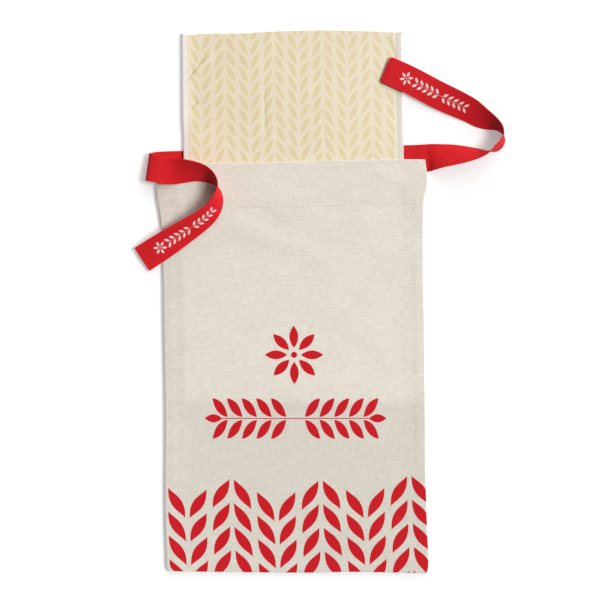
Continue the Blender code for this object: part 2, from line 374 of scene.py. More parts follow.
def dress(shader, field, base, roughness, height):
    """Links a cloth's colour, roughness and relief, the last in millimetres."""
    links = field.tree.links
    links.new(base.socket, shader.inputs["Base Color"])
    links.new(roughness.socket, shader.inputs["Roughness"])
    relief = field.node("ShaderNodeBump", None, {"Strength": 1.0, "Distance": MM, "Height": height})
    links.new(relief.socket, shader.inputs["Normal"])
    shader.inputs["Diffuse Roughness"].default_value = CLOTH_ROUGH


def flat_cloth(field):
    """Where a point lay on the flat cut, in millimetres, and which face of the cloth it is on."""
    return field.node("ShaderNodeAttribute", {"attribute_name": "cloth"}, None, "Vector").axes()


def plain_weave(u, v, warp, weft):
    """Height from 0 to 1 of a plain weave, each thread passing over one and under the next."""
    over = (u * (pi / warp)).sine() * (v * (pi / weft)).sine()
    return over * 0.5 + 0.5


def linen_threads(field, u, v):
    """How light each thread is, from 0 to 1: slubs, mostly along the weft, and soft clouds."""
    slubs = field.mottle(u, v, 6.5, 0.62)
    long_slubs = field.mottle(u, v, 26.0, 1.1)
    ends = field.mottle(u, v, 0.6, 8.0)
    clouds = field.mottle(u, v, 38.0, 27.0, 3.0)
    return (slubs * 1.05 + long_slubs * 0.5 + ends * 0.75 + clouds * 0.25 - 0.775).kept()


def linen_material(name, printed=None):
    """Unbleached linen. printed(field, u, v, side, weave, look) changes its look where it is printed: its
    colour, roughness and relief."""
    material, shader, field = new_material(name)
    u, v, side = flat_cloth(field)
    threads = linen_threads(field, u, v)
    weave = plain_weave(u, v, WARP_PITCH, WEFT_PITCH)
    base = (threads * 0.8 + weave * 0.2).kept().blend(colour(LINEN_DARK), colour(LINEN_LIGHT))
    look = base, threads * -0.06 + 0.93, weave * 0.05 + threads * 0.16
    if printed:
        look = printed(field, u, v, side, weave, look)
    dress(shader, field, *look)
    shader.inputs["Specular IOR Level"].default_value = 0.2
    return material


plain_linen = linen_material("plain linen")
bag_size = (BAG_WIDTH, BAG_LENGTH)
bag_back = lay_panel("bag_back_linen", bag_size, BACK_MESH, place_on_bag, back_under, back_over)
bag_back.data.materials.append(plain_linen)
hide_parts("bag_back")


# --------------------
# Liner. A narrower bag of waxed cotton, printed all over in pale yellow, that keeps the bread fresh. Its
# front and back are sewn together at the sides, and the seam's turnings stay outside as a flat flange. It
# is drawn a third of the way out of the linen bag.
# --------------------
LINER = 1.0
LINER_WIDTH = 219.0
FLANGE = 5.0
LINER_CEILING = 9.2  # underside of its front over the table, along the middle
ARCH = 100.0  # how far in from the flange the two fronts reach their full height
LINER_END_RISE = 26.0
LINER_RAMP_TOP = 209.0  # where its back starts to come down to the table
LINER_RAMP_FOOT = 262.0
UPPER_LIFT = 1.6  # how far the tie lifts the two fronts, which are stiffer than the backs
UPPER_LIFT_START = 108.0
UPPER_LIFT_END = 338.0
LINER_SIDE_LIFT = 4.2  # how high the liner's left side stands off the table, out of the bag
LINER_SIDE_CURL = 16.0
LINER_LIFT_START = 222.0
LINER_LIFT_END = 252.0
LINER_EDGE_ROUND = 0.6
LINER_PAINTED_SIDE_LIGHT = 0.0002  # painted light and shade: how much darker the wax is made per millimetre to the right, and lighter to the left, to even out how the lamp lights its arched front
LINER_SEAM_RISE = 0.5  # how high the liner swells right beside its seam
SEAM_SPREAD = (0.2, 2.0)  # from how far outside the seam to how far inside it
OUT_OF_BAG = 12.0  # how far past the bag's mouth that swell and the creases are full
LINER_FRONT_MESH = 1.5
LINER_BACK_MESH = 2.8
WAX_CREAM = (0.741, 0.664, 0.513)
WAX_CREAM_LIGHT = (0.785, 0.717, 0.584)
WAX_YELLOW = (0.716, 0.615, 0.368)
FLANGE_WHITE = (0.715, 0.660, 0.612)
WAX_EDGE = 2.0  # how sharply the wax stops at the flange, per millimetre
SEAM_PAINTED_SHADE = (0.32, 0.5)  # how dark the painted shade in the groove beside the flange is, and its half width
CREASE_SHADE = (0.42, 1.3)  # how brown the painted shade along a crease is, and its half width
CREASE_SHADE_BY_DEPTH = 1.4  # the share of that for each millimetre of the crease's depth
# the colour of the painted shade in the creases
CREASE_SHADE_BROWN = (0.430, 0.335, 0.200)
CREASE_SHADE_ENDS = 3.5  # over what length it fades at each end
CLOTH_TO_TABLE = -3.2  # from a place on the liner's flat cut to where it lies, where it is creased
COTTON_PITCH = 0.55

LINER_SIDES = (
    # y, left, right
    (-38.0, -111.0, 108.4),
    (150.0, -111.3, 108.2),
    (203.0, -111.5, 107.9),
    (270.0, -112.3, 106.6),
    (336.0, -112.8, 105.6),
)
LINER_BOTTOM = -38.0
LINER_TOP = (
    # x, y
    (-113.0, 332.0),
    (-107.5, 330.9),
    (-92.0, 331.8),
    (-48.0, 331.9),
    (-32.0, 333.1),
    (20.0, 334.6),
    (55.0, 334.4),
    (106.0, 333.3),
)
LINER_FOLDS = (
    # start x, start y, end x, end y, height, half width
    (-108.0, 286.0, -82.0, 314.0, 0.9, 9.0),
)
LINER_CREASES = (
    # start x, start y, end x, end y, depth, half width
    (-109.0, 283.6, -100.5, 295.0, 1.20, 1.8),
    (-105.0, 289.6, -92.0, 305.5, 1.60, 1.8),
    (-97.0, 300.3, -84.0, 310.8, 0.45, 2.0),
    (-105.5, 255.0, -96.5, 266.0, 0.90, 2.0),
    (93.0, 330.0, 101.5, 305.0, 1.10, 1.8),
    (-30.5, 279.0, -30.0, 231.0, 0.45, 2.4),
    (26.0, 258.0, 30.0, 214.0, 0.18, 2.8),
)
INK_EDGE = 1.6  # how sharply printed ink stops, per millimetre
LINER_LEAVES = {
    "first": -91.7, "columns_apart": 24.38, "up_start": 313.8, "down_start": 326.8,
    "gap": 1.1, "reach": 9.5, "slope": 2.0, "rows_apart": 13.88, "thick": 10.8, "skew": 0.38, "full": 0.62,
    "rows": (-99, 99), "sharp": 0.65, "raised": (0.2, 3.0, -5.0, -2.5, 0.0, -0.8, -0.5, -2.0),
}
UNEVEN = (
    # length of a swell, height
    (46.0, 0.34),
    (19.0, 0.10),
)
CALM = 7.0  # how far in from a seam they are full

liner_sides = curve_through(LINER_SIDES)
liner_top = curve_through(LINER_TOP)


def from_fold(fold, x, y):
    """A fold's length, and how far along it and beside it a place is. x and y may be fields."""
    x0, y0, x1, y1 = fold[:4]
    length = hypot(x1 - x0, y1 - y0)
    east, north = (x1 - x0) / length, (y1 - y0) / length
    along = (x - x0) * east + (y - y0) * north
    return length, along, abs((y - y0) * east - (x - x0) * north)


def across_fold(fold, x, y):
    """The share from 0 to 1 of a fold's full height that is reached at a place."""
    length, along, aside = from_fold(fold, x, y)
    half_width = fold[5]
    if aside > half_width or not 0 < along < length:
        return 0.0
    fade = min(half_width, length / 2)
    return ease(0, fade, along) * ease(length, length - fade, along) * ease(half_width, 0, aside)


def raised_by(folds, x, y):
    return sum(fold[4] * across_fold(fold, x, y) for fold in folds)


def unevenness(x, y):
    """Soft swells that the liner's front and the linen over it share."""
    return sum(height * noise.noise(Vector((x / length, y / length, length))) for length, height in UNEVEN)


def calm_edge(x, y):
    """0 along the liner's flange and the bag's bottom seam, where the cloth is held flat, and 1 inside."""
    side = ease(FLANGE, FLANGE + CALM, in_from_liner_side(x, y))
    return side * ease(ALLOWANCE, ALLOWANCE + 2 * CALM, y - bag_bottom(x)[0])


def place_on_liner(s, t):
    y = LINER_BOTTOM + t * (LINER_SIDES[-1][0] - LINER_BOTTOM)
    left, right = liner_sides(y)
    x = left + s * (right - left)
    return x, LINER_BOTTOM + t * (liner_top(x)[0] - LINER_BOTTOM)


def in_from_liner_side(x, y):
    left, right = liner_sides(y)
    return min(x - left, right - x)


def liner_roll(x, y):
    edge = min(in_from_liner_side(x, y), liner_top(x)[0] - y)
    return roll(edge, LINER_EDGE_ROUND) * LINER * FOLD_SHARE


def liner_side_lift(x, y):
    """How far the liner's left side has curled up off the table."""
    curl = max(0.0, 1 - (x - liner_sides(y)[0]) / LINER_SIDE_CURL)
    return LINER_SIDE_LIFT * curl * curl * ease(LINER_LIFT_START, LINER_LIFT_END, y)


def liner_back_lies(x, y):
    """Underside of the liner's back: on the bag's back, over its hem and down to the table."""
    on_the_bag = (back_inside(0.0, y) + GAP) * ease(LINER_RAMP_FOOT, LINER_RAMP_TOP, y)
    return on_the_bag + liner_side_lift(x, y)


def arch(distance):
    """A cloth's rise from 0 at its held side to 1 further in."""
    share = min(1.0, max(0.0, distance / ARCH))
    return share * (2 - share)


def upper_lift(y):
    """How far the tie lifts the two fronts along the middle."""
    return UPPER_LIFT * ease(UPPER_LIFT_START, LIFT_START, y) * ease(UPPER_LIFT_END, LINER_RAMP_FOOT, y)


def liner_front_lies(x, y):
    """Underside of the liner's front, before its edges are rounded."""
    flange = liner_back_lies(x, y) + LINER + GAP
    side = in_from_liner_side(x, y)
    swell = arch(side - FLANGE)
    end = ease(LINER_BOTTOM + FLANGE, LINER_BOTTOM + FLANGE + LINER_END_RISE, y)
    off_flange = ease(FLANGE - SEAM_SPREAD[0], FLANGE + SEAM_SPREAD[1], side)
    beside_seam = LINER_SEAM_RISE * off_flange * (1 - swell)
    creases = raised_by(LINER_FOLDS, x, y) - raised_by(LINER_CREASES, x, y)
    out_of_the_bag = ease(BAG_MOUTH[0][1], BAG_MOUTH[0][1] + OUT_OF_BAG, y)
    shown = (beside_seam + creases) * out_of_the_bag * off_flange
    dome = (LINER_CEILING + upper_lift(y) - flange) * swell * end
    return flange + dome + shown + unevenness(x, y) * calm_edge(x, y)


def liner_faces(lies):
    """The lower and the upper face of a liner panel."""
    return (
        lambda x, y: lies(x, y) + liner_roll(x, y),
        lambda x, y: lies(x, y) + LINER - liner_roll(x, y),
    )


def leaf_rows(across, along, rises, gap, reach, slope, rows_apart, thick, skew, full, rows,
              sharp=INK_EDGE):
    """Leaves in a row beside a stem. across is the distance from the stem and along the way up it, gap is
    half of the bare stem, reach how far a leaf goes sideways, slope its rise over its reach, and thick its
    thickness measured along the stem. skew bends it into an S, and a low full gives it blunt shoulders.
    rises is 1 or -1, rows are the first and last ones, and sharp is how fast the ink stops."""
    out = ((across - gap) / reach).kept()
    belly = (out * (1 - out) * 4) ** full
    lean = rises * (1 - out * 2) * belly * (skew * thick)
    count = (along - rises * out * (slope * reach) - lean) / rows_apart
    row = count.round()
    off = abs(count - row) * rows_apart
    edge = belly * (thick / 2) - off
    return (edge * sharp).kept() * (row > rows[0] - 0.5) * (row < rows[1] + 0.5)


def leaf_columns(u, v, first, columns_apart, up_start, down_start, raised, **leaf):
    """Columns of leaves that point up and down by turns, the first on a stem at u = first. up_start is where
    the top leaf of a column that points up leaves its stem, and down_start the same for the others. raised
    is how far above that each column is printed."""
    count = (u - first) / columns_apart
    column = count.round()
    across = abs(count - column) * columns_apart
    even = 1 - abs((column / 2).floor() * 2 - column)
    along = v - (even * up_start + (1 - even) * down_start)
    for place, higher in enumerate(raised):
        along = along - (abs(column - place) < 0.5) * higher
    return leaf_rows(across, along, even * 2 - 1, **leaf)


def crease_shade(x, y, crease):
    """1 along a crease, where shade is painted into the wax's colour."""
    length, along, aside = from_fold(crease, x, y)
    ends = (along / CREASE_SHADE_ENDS).kept() * ((length - along) / CREASE_SHADE_ENDS).kept()
    return (1 - aside / CREASE_SHADE[1]).kept() * ends * min(1.0, crease[4] * CREASE_SHADE_BY_DEPTH)


def waxed_material(name, outer_face):
    """Waxed cotton, printed on its outer face: 1 where that is the upper one, and -1 the lower."""
    material, shader, field = new_material(name)
    u, v, side = flat_cloth(field)
    clouds = field.mottle(u, v, 24.0, 24.0, 3.0)
    grain = field.mottle(u, v, 0.9, 2.4)
    weave = plain_weave(u, v, COTTON_PITCH, COTTON_PITCH)
    ground = (clouds * 0.9 + grain * 0.4 - 0.15).kept().blend(colour(WAX_CREAM), colour(WAX_CREAM_LIGHT))
    leaves = leaf_columns(u, v, **LINER_LEAVES) * (side * outer_face > 0)
    edge = LINER_WIDTH / 2 - abs(u)
    base = (leaves * (grain * 0.25 + 0.78)).blend(ground, colour(WAX_YELLOW))
    base = ((FLANGE - edge) * WAX_EDGE).kept().blend(base, colour(FLANGE_WHITE))
    # painted shade along the groove beside the flange
    groove_shade = (1 - abs(edge - FLANGE) / SEAM_PAINTED_SHADE[1]).kept()
    # painted light on the liner's left and painted shade on its right
    base = base.scaled(1 - groove_shade * SEAM_PAINTED_SHADE[0] - u * LINER_PAINTED_SIDE_LIGHT)
    if outer_face > 0:
        # painted shade along the front's creases, in brown
        crease_shades = [crease_shade(u + CLOTH_TO_TABLE, v, crease) for crease in LINER_CREASES]
        base = (sum(crease_shades) * CREASE_SHADE[0]).kept().blend(base, colour(CREASE_SHADE_BROWN))
    dress(shader, field, base, clouds * 0.12 + 0.50, weave * 0.025 + grain * 0.05)
    shader.inputs["Coat Weight"].default_value = 0.06
    shader.inputs["Coat Roughness"].default_value = 0.45
    return material


liner_size = (LINER_WIDTH, LINER_SIDES[-1][0] - LINER_BOTTOM)
liner_front_under, liner_front_over = liner_faces(liner_front_lies)
liner_back = lay_panel(
    "liner_back_waxed", liner_size, LINER_BACK_MESH, place_on_liner, *liner_faces(liner_back_lies)
)
liner_front = lay_panel(
    "liner_front_waxed", liner_size, LINER_FRONT_MESH, place_on_liner, liner_front_under, liner_front_over
)
liner_back.data.materials.append(waxed_material("waxed cotton of the liner's back", -1))
liner_front.data.materials.append(waxed_material("waxed cotton of the liner's front", 1))
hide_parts("liner_back")
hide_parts("liner_front")


# --------------------
# Overlocking. White cotton thread sewn over both raw edges of the liner's side seams. It runs out over the
# flange, round its edge and back underneath, and a row of straight stitches beside it holds the seam.
# --------------------
THREAD_RADIUS = 0.32
OVERLOCK_PITCH = 2.1
OVERLOCK_REACH = 4.5  # from the flange's edge in to the needle's holes
OVERLOCK_ENDS = (3.0, 1.5)  # how far from the liner's bottom and top the stitches start and stop
OVERLOCK_UNEVEN = (0.22, 0.9)  # how far a hole is off its line, and how quickly that changes
OVERLOCK_SLACK = (0.4, 0.37)  # the same for the thread round the flange's edge
LINER_CORNER = 100.0  # distance of the flanges from the middle, roughly
OVERLOCK_TAIL = (
    # the thread's cut end: how far in from the flange's edge, and how far above the last stitch
    (2.4, 0.9),
    (1.0, 1.6),
    (-0.4, 1.3),
    (-0.8, 0.2),
    (-0.1, -0.3),
    (0.3, 0.8),
    (-0.7, 1.9),
    (-1.2, 0.7),
    (-1.1, -1.6),
)
THREAD_OFF_CLOTH = 0.12
COTTON_WHITE = (0.900, 0.835, 0.785)
THREAD_TWIST = 1.1
STITCH_LENGTH = 2.6
STITCH_RADIUS = 0.17
STITCH_SINKS = 0.22  # how far a thread dips into the cloth between two stitches
STITCH_POINTS = 6
SEAM_STITCH_IN = FLANGE - 0.35
SEAM_ENDS = (4.0, 2.0)  # how far from the liner's bottom and top its seam starts and stops
SEAM_RUNS = 12


def thread_material(name, rgb):
    """Twisted cotton sewing thread, a little lighter where its strands stand out."""
    material, shader, field = new_material(name)
    x, y, z = field.node("ShaderNodeTexCoord", None, None, "Object").axes()
    strands = ((x + y * 1.3 + z) * (2 * pi / (THREAD_TWIST * MM))).sine() * 0.5 + 0.5
    dark = colour([part * 0.86 for part in rgb])
    dress(shader, field, strands.blend(dark, colour(rgb)), strands * 0.05 + 0.80, strands * 0.04)
    return material


def sew(name, runs, radius, sides=2):
    """Threads through lists of points in millimetres, as one mesh of round tubes with closed ends."""
    path = bpy.data.curves.new(name, "CURVE")
    path.dimensions = "3D"
    path.bevel_depth = radius * MM
    path.bevel_resolution = sides - 1
    path.use_fill_caps = True
    for run in runs:
        line = path.splines.new("POLY")
        line.points.add(len(run) - 1)
        for spot, point in zip(line.points, run):
            spot.co = (*[part * MM for part in point], 1.0)
    guide = bpy.data.objects.new(name, path)
    mesh = bpy.data.meshes.new_from_object(guide)
    bpy.data.objects.remove(guide)
    mesh.name = name
    return show_piece(name, mesh)


def overlock_run(side):
    """One thread wound round a flange. side is -1 for the left one and 1 for the right one."""
    run = []
    y = LINER_BOTTOM + OVERLOCK_ENDS[0]
    while y < liner_top(side * LINER_CORNER)[0] - OVERLOCK_ENDS[1]:
        left, right = liner_sides(y)
        edge = left if side < 0 else right
        hole = OVERLOCK_REACH + OVERLOCK_UNEVEN[0] * noise.noise(Vector((y * OVERLOCK_UNEVEN[1], side, 0)))
        slack = OVERLOCK_SLACK[0] * abs(noise.noise(Vector((y * OVERLOCK_SLACK[1], side, 5.0))))
        stitch = (
            # how far in from the edge, 1 on the flange and -1 below it, share of the way to the next stitch
            (hole, 1, 0.0), (hole - 0.6, 1, 0.05), (2.6, 1, 0.25), (0.6, 1, 0.45), (-0.12 - slack, 0, 0.5),
            (0.6, -1, 0.55), (2.6, -1, 0.75), (hole - 0.6, -1, 0.95),
        )
        for inward, over, share in stitch:
            x = edge - side * inward
            at = y + OVERLOCK_PITCH * share
            top = liner_front_lies(x, at) + LINER + THREAD_OFF_CLOTH * (0.2 if share == 0.0 else 1.0)
            low = max(liner_back_lies(x, at) - THREAD_OFF_CLOTH, THREAD_RADIUS)
            run.append((x, at, (low, (low + top) / 2, top)[over + 1]))
        y += OVERLOCK_PITCH
    for inward, up in OVERLOCK_TAIL:
        run.append((edge - side * inward, y + up, THREAD_RADIUS + LINER))
    return run


def stitch_height(k, above):
    """How far the thread is off the cloth at a row's k-th point, above times its radius at the most."""
    shown = abs(sin(pi * k / STITCH_POINTS)) ** 0.5
    return (shown - 1) * STITCH_SINKS + STITCH_RADIUS * above


def stitch_row(start, end, height, outwards):
    """A row of stitches between two places: the thread comes up at one hole and goes down at the next."""
    stitches = round(dist(start, end) / STITCH_LENGTH)
    row = []
    for k in range(stitches * STITCH_POINTS + 1):
        share = k / (stitches * STITCH_POINTS)
        x = start[0] + (end[0] - start[0]) * share
        y = start[1] + (end[1] - start[1]) * share
        off = outwards * stitch_height(k, 0.5)
        row.append((x, y, max(height(x, y) + off, STITCH_RADIUS)))
    return row


def stitch_along(corners, height, outwards=1):
    """One row in short straight runs from corner to corner. outwards is -1 on a cloth's lower face."""
    row = []
    for start, end in zip(corners, corners[1:]):
        row += stitch_row(start, end, height, outwards)[:-1]
    return row


def seam_row(side):
    """The straight stitches of the liner's seam."""
    first, last = LINER_BOTTOM + SEAM_ENDS[0], liner_top(side * LINER_CORNER)[0] - SEAM_ENDS[1]
    heights = even_steps(first, last, SEAM_RUNS)
    corners = [(liner_sides(y)[side > 0] - side * SEAM_STITCH_IN, y) for y in heights]
    return stitch_along(corners, liner_front_over)


white_thread = thread_material("white cotton thread", COTTON_WHITE)
overlocking = sew("liner_overlocking", [overlock_run(-1), overlock_run(1)], THREAD_RADIUS)
seam_stitching = sew("liner_seam_stitching", [seam_row(-1), seam_row(1)], STITCH_RADIUS)
for threads in (overlocking, seam_stitching):
    threads.data.materials.append(white_thread)


# --------------------
# Bag front. The front panel of the linen bag, the same cut as the back, printed in red with a border of
# leaves, a garland and a rosette. It lies over the liner, sinks where the liner ends and comes down to the
# seams, and its mouth is hemmed.
# --------------------
FRONT_MESH = 1.72
FRONT_CROWN = (
    # y, underside of the front over the table along the bag's middle
    (-206.0, 4.1),
    (-193.0, 4.4),
    (-170.0, 5.6),
    (-125.0, 7.2),
    (-60.0, 8.2),
    (-46.0, 8.6),
    (-26.0, 10.4),
    (-10.0, 10.7),
    (210.0, 10.7),
)
OVER_FLANGE = 2 * LINER + 2 * GAP + 0.1
FRONT_RISE_START = 3.0  # how far in from the liner's edge the front starts to arch
FRONT_FOLDS = (
    # start x, start y, end x, end y, height, half width
    (-72.0, 144.0, 40.0, 102.0, 1.2, 17.0),
    (70.0, 199.0, 124.0, 174.0, 0.7, 13.0),
    (77.0, 6.0, 99.0, -18.0, -0.35, 9.0),
    (-122.0, 32.0, -99.0, -20.0, -0.3, 8.0),
)
SAG = (-9.0, 113.0, 6.2)  # where the printed border sags most, over what length, and by how much
SAG_FROM = -68.0  # from there down to the next place it sets in
SAG_FULL = -106.0
PUCKER = 0.16  # height of the ripples beside a seam, how far in they reach, and their length
PUCKER_REACH = 9.0
PUCKER_LENGTH = 3.4
BORDER_LEAVES = {
    "first": -107.66, "columns_apart": 44.25, "up_start": -149.2, "down_start": -108.4,
    "gap": 2.2, "reach": 16.9, "slope": 1.75, "rows_apart": 23.6, "thick": 15.7, "skew": 0.46, "full": 0.28,
    "rows": (-9, 0), "raised": (0.5, 0.8, 0.6, 0.4, 1.4, 0.9),
}
GARLAND_LEAVES = {
    "gap": 1.5, "reach": 18.6, "slope": 0.80, "rows_apart": 14.6, "thick": 10.4, "skew": 0.30, "full": 0.5,
    "rows": (0, 4),
}
GARLAND_PLACE = (0.4, -52.0)
GARLAND_START = 9.5
GARLAND_STEM = (78.0, 0.75)  # half length and half thickness
GARLAND_TIP = (73.0, 91.0, 4.4)  # where the leaf at each end starts and ends, and its half width
ROSETTE_PLACE = (-0.3, 11.4)
ROSETTE = {"petals": 8, "inner": 6.5, "outer": 29.5, "half_width": 4.7, "eye": 3.4}
LINER_UNDER = (-112.0, -41.0)  # the left and bottom edges of the liner under the linen
LINER_UNDER_SOFT = (6.0, 10.0)  # how gradually it shows at each
LINER_SHOW_THROUGH_AND_LIGHT = 0.09  # how much lighter the linen is made there: partly the liner showing through, and painted light on the strip right of the liner, which has no liner under it
INK_RED = (0.660, 0.0060, 0.0165)
INK_RED_DEEP = (0.500, 0.0040, 0.0115)

front_crown = curve_through(FRONT_CROWN)


def front_lies(x, y):
    """Underside of the front panel, before its edges are rounded. It spans level from the seam to the
    liner's flange, and arches over the liner."""
    seam = EDGE_LIFT + LINEN + TURNED_EDGE + GAP
    over_flange = LINEN + TURNED_EDGE * max(hem(x, y), hem(0.0, y)) + GAP + OVER_FLANGE
    level = tie_lift(y) + seam + (over_flange - seam) * ease(0, ALLOWANCE, in_from_seam(x, y))
    crown = max(front_crown(y)[0] + upper_lift(y) - level, 0.0)
    dome = crown * arch(in_from_liner_side(x, y) - FRONT_RISE_START)
    return level + dome + raised_by(FRONT_FOLDS, x, y) + unevenness(x, y) * calm_edge(x, y)


def pucker(x, y):
    """Small ripples that the seam's thread draws into the linen beside it."""
    edge = min(in_from_seam(x, y), in_from_mouth(x, y) + FOLD_ROUND)
    ripple = noise.noise(Vector((x / PUCKER_LENGTH, y / PUCKER_LENGTH, 7.0)))
    return PUCKER * ripple * ease(PUCKER_REACH, 0.0, edge) * ease(0.0, SEAM_ROUND, edge)


def front_under(x, y):
    return front_lies(x, y) + linen_thickness(x, y) * inner_roll(x, y)


def front_over(x, y):
    return front_lies(x, y) + linen_thickness(x, y) * (1 - outer_roll(x, y)) + pucker(x, y)


def print_sag(x, y):
    """How far the cloth has sagged at the border, where the panel lies a little bowed."""
    middle, length, depth = SAG
    away = (x - middle) / length
    return depth * exp(-away * away) * ease(SAG_FROM, SAG_FULL, y)


def rosette(field, x, y, petals, inner, outer, half_width, eye):
    """A ring of leaves that point outwards, round a dot."""
    turn = field.math("ARCTAN2", y, x) * (petals / (2 * pi))
    off = (turn - turn.round()) * (2 * pi / petals)
    reach = (x * x + y * y) ** 0.5
    out = ((reach * off.cosine() - inner) / (outer - inner)).kept()
    petal = out * (1 - out) * (4 * half_width) - abs(reach * off.sine())
    return (petal.larger(eye - reach) * INK_EDGE).kept()


def garland(x, y):
    """A stem with leaves on both sides, the same on the left and the right of its middle."""
    out, off = abs(x), abs(y)
    leaves = leaf_rows(off, out - GARLAND_START, 1.0, **GARLAND_LEAVES)
    stem = (GARLAND_STEM[0] - out).smaller(GARLAND_STEM[1] - off)
    along = ((out - GARLAND_TIP[0]) / (GARLAND_TIP[1] - GARLAND_TIP[0])).kept()
    tip = along * (1 - along) * (4 * GARLAND_TIP[2]) - off
    return leaves.larger((stem.larger(tip) * INK_EDGE).kept())


def show_through_and_painted_light(u, v):
    """1 right of the liner's left edge and above its bottom edge, where the linen is made lighter: partly
    the liner showing through, partly painted light.
    """
    from_left = ((u - LINER_UNDER[0]) / LINER_UNDER_SOFT[0]).kept()
    from_bottom = ((v - LINER_UNDER[1]) / LINER_UNDER_SOFT[1]).kept()
    return from_left.smaller(from_bottom)


def bag_print(field, u, v, side, weave, look):
    """The red print on the bag's front. The ink lies on the threads' tops and dries a little smoother."""
    border = leaf_columns(u, v, **BORDER_LEAVES)
    badge = rosette(field, u - ROSETTE_PLACE[0], v - ROSETTE_PLACE[1], **ROSETTE)
    line = garland(u - GARLAND_PLACE[0], v - GARLAND_PLACE[1])
    ink = border.larger(badge).larger(line) * (side > 0)
    worn = (ink * 1.25 + weave * 0.14 - 0.19).kept() * (ink > 0.02)
    base, roughness, height = look
    # painted light, together with the liner showing through
    base = base.scaled(show_through_and_painted_light(u, v) * LINER_SHOW_THROUGH_AND_LIGHT + 1)
    patches = field.mottle(u, v, 5.0, 1.1, 3.0)
    red = (patches * 0.8 + weave * 0.3 - 0.05).kept().blend(colour(INK_RED_DEEP), colour(INK_RED))
    return worn.blend(base, red), roughness - worn * 0.12, height


printed_linen = linen_material("printed linen", bag_print)
bag_front = lay_panel(
    "bag_front_linen", bag_size, FRONT_MESH, place_on_bag, front_under, front_over, print_sag
)
bag_front.data.materials.append(printed_linen)
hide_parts("bag_front")


# --------------------
# Hem stitching. One row of lockstitch in linen-coloured thread holds the turned-down mouth of each panel,
# sewn from the outside.
# --------------------
HEM_STITCH_IN = HEM_DEPTH - 1.6
SEAM_CLEAR = 3.0
HEM_RUNS = 8
LINEN_THREAD = (0.700, 0.640, 0.555)


def hem_row(height, outwards):
    """The hem's row, along the mouth from one side seam to the other."""
    left, right = bag_sides(BAG_MOUTH[0][1] - HEM_STITCH_IN)
    places = even_steps(left + SEAM_CLEAR, right - SEAM_CLEAR, HEM_RUNS)
    corners = [(x, bag_mouth(x)[0] - HEM_STITCH_IN) for x in places]
    return stitch_along(corners, height, outwards)


hem_stitching = sew("hem_stitching", [hem_row(front_over, 1), hem_row(back_under, -1)], STITCH_RADIUS)
hem_stitching.data.materials.append(thread_material("linen-coloured thread", LINEN_THREAD))


# --------------------
# Tie. One length of woven red tape, sewn to the back of the bag's mouth at its middle. The right end is
# turned under and stitched, the left one is cut. Both tails lie loose: the left one folds over the mouth
# and back, the right one stands on edge in a loop and lies down over the liner.
# --------------------
TAPE_WIDTH = 27.5
TAPE_MESH = 1.4
TAPE_COLUMNS = 11
TAPE_ROUND = 0.5  # radius of its woven edges
TAPE_END_TURN = 5.0
TAPE_TURN_STEP = 0.4
TAPE_CLOSED = (0.9, 0.98, 0.6)  # how nearly its faces meet at a selvedge, the turned end and the cut one
TAPE_STEPS = (0.0, 0.12, 0.35, 0.65)  # the grid's lines in from a selvedge, the cut end and the turned one
TAPE_CUT_STEPS = (0.0, 0.12, 0.4, 1.0)
TAPE_TURNED_STEPS = (5.5, 5.0, 4.5, 3.6, 2.6, 1.6, 1.0, 0.7, 0.4, 0.2, 0.06, 0.0)
TAPE_EVEN = (2.5, 7.0)  # how far in from the cut and the turned end its lines are even
TAPE_AHEAD = 0.7  # how far ahead and back its direction is measured
TAPE_RIBS = 1.25
TAPE_WARP = 0.62
TAPE_SELVEDGE = 1.2
TAPE_CORNER = 2.8  # how round the turned end's corners are
TAPE_FOLD_SHADE = (2.7, 0.6, 0.4)  # painted shade in a line by the turned end's fold: how far in from the turned end, its half width, how dark
TAPE_KNOTS = 1.9  # how far apart the weft's turns are along the selvedge
TAPE_STITCH_IN = 3.6
TAPE_RED = (0.770, 0.0140, 0.0225)
TAPE_RED_DARK = (0.490, 0.0075, 0.0125)
TAPE_WHITE = (0.800, 0.700, 0.680)
RED_THREAD = (0.500, 0.0100, 0.0160)
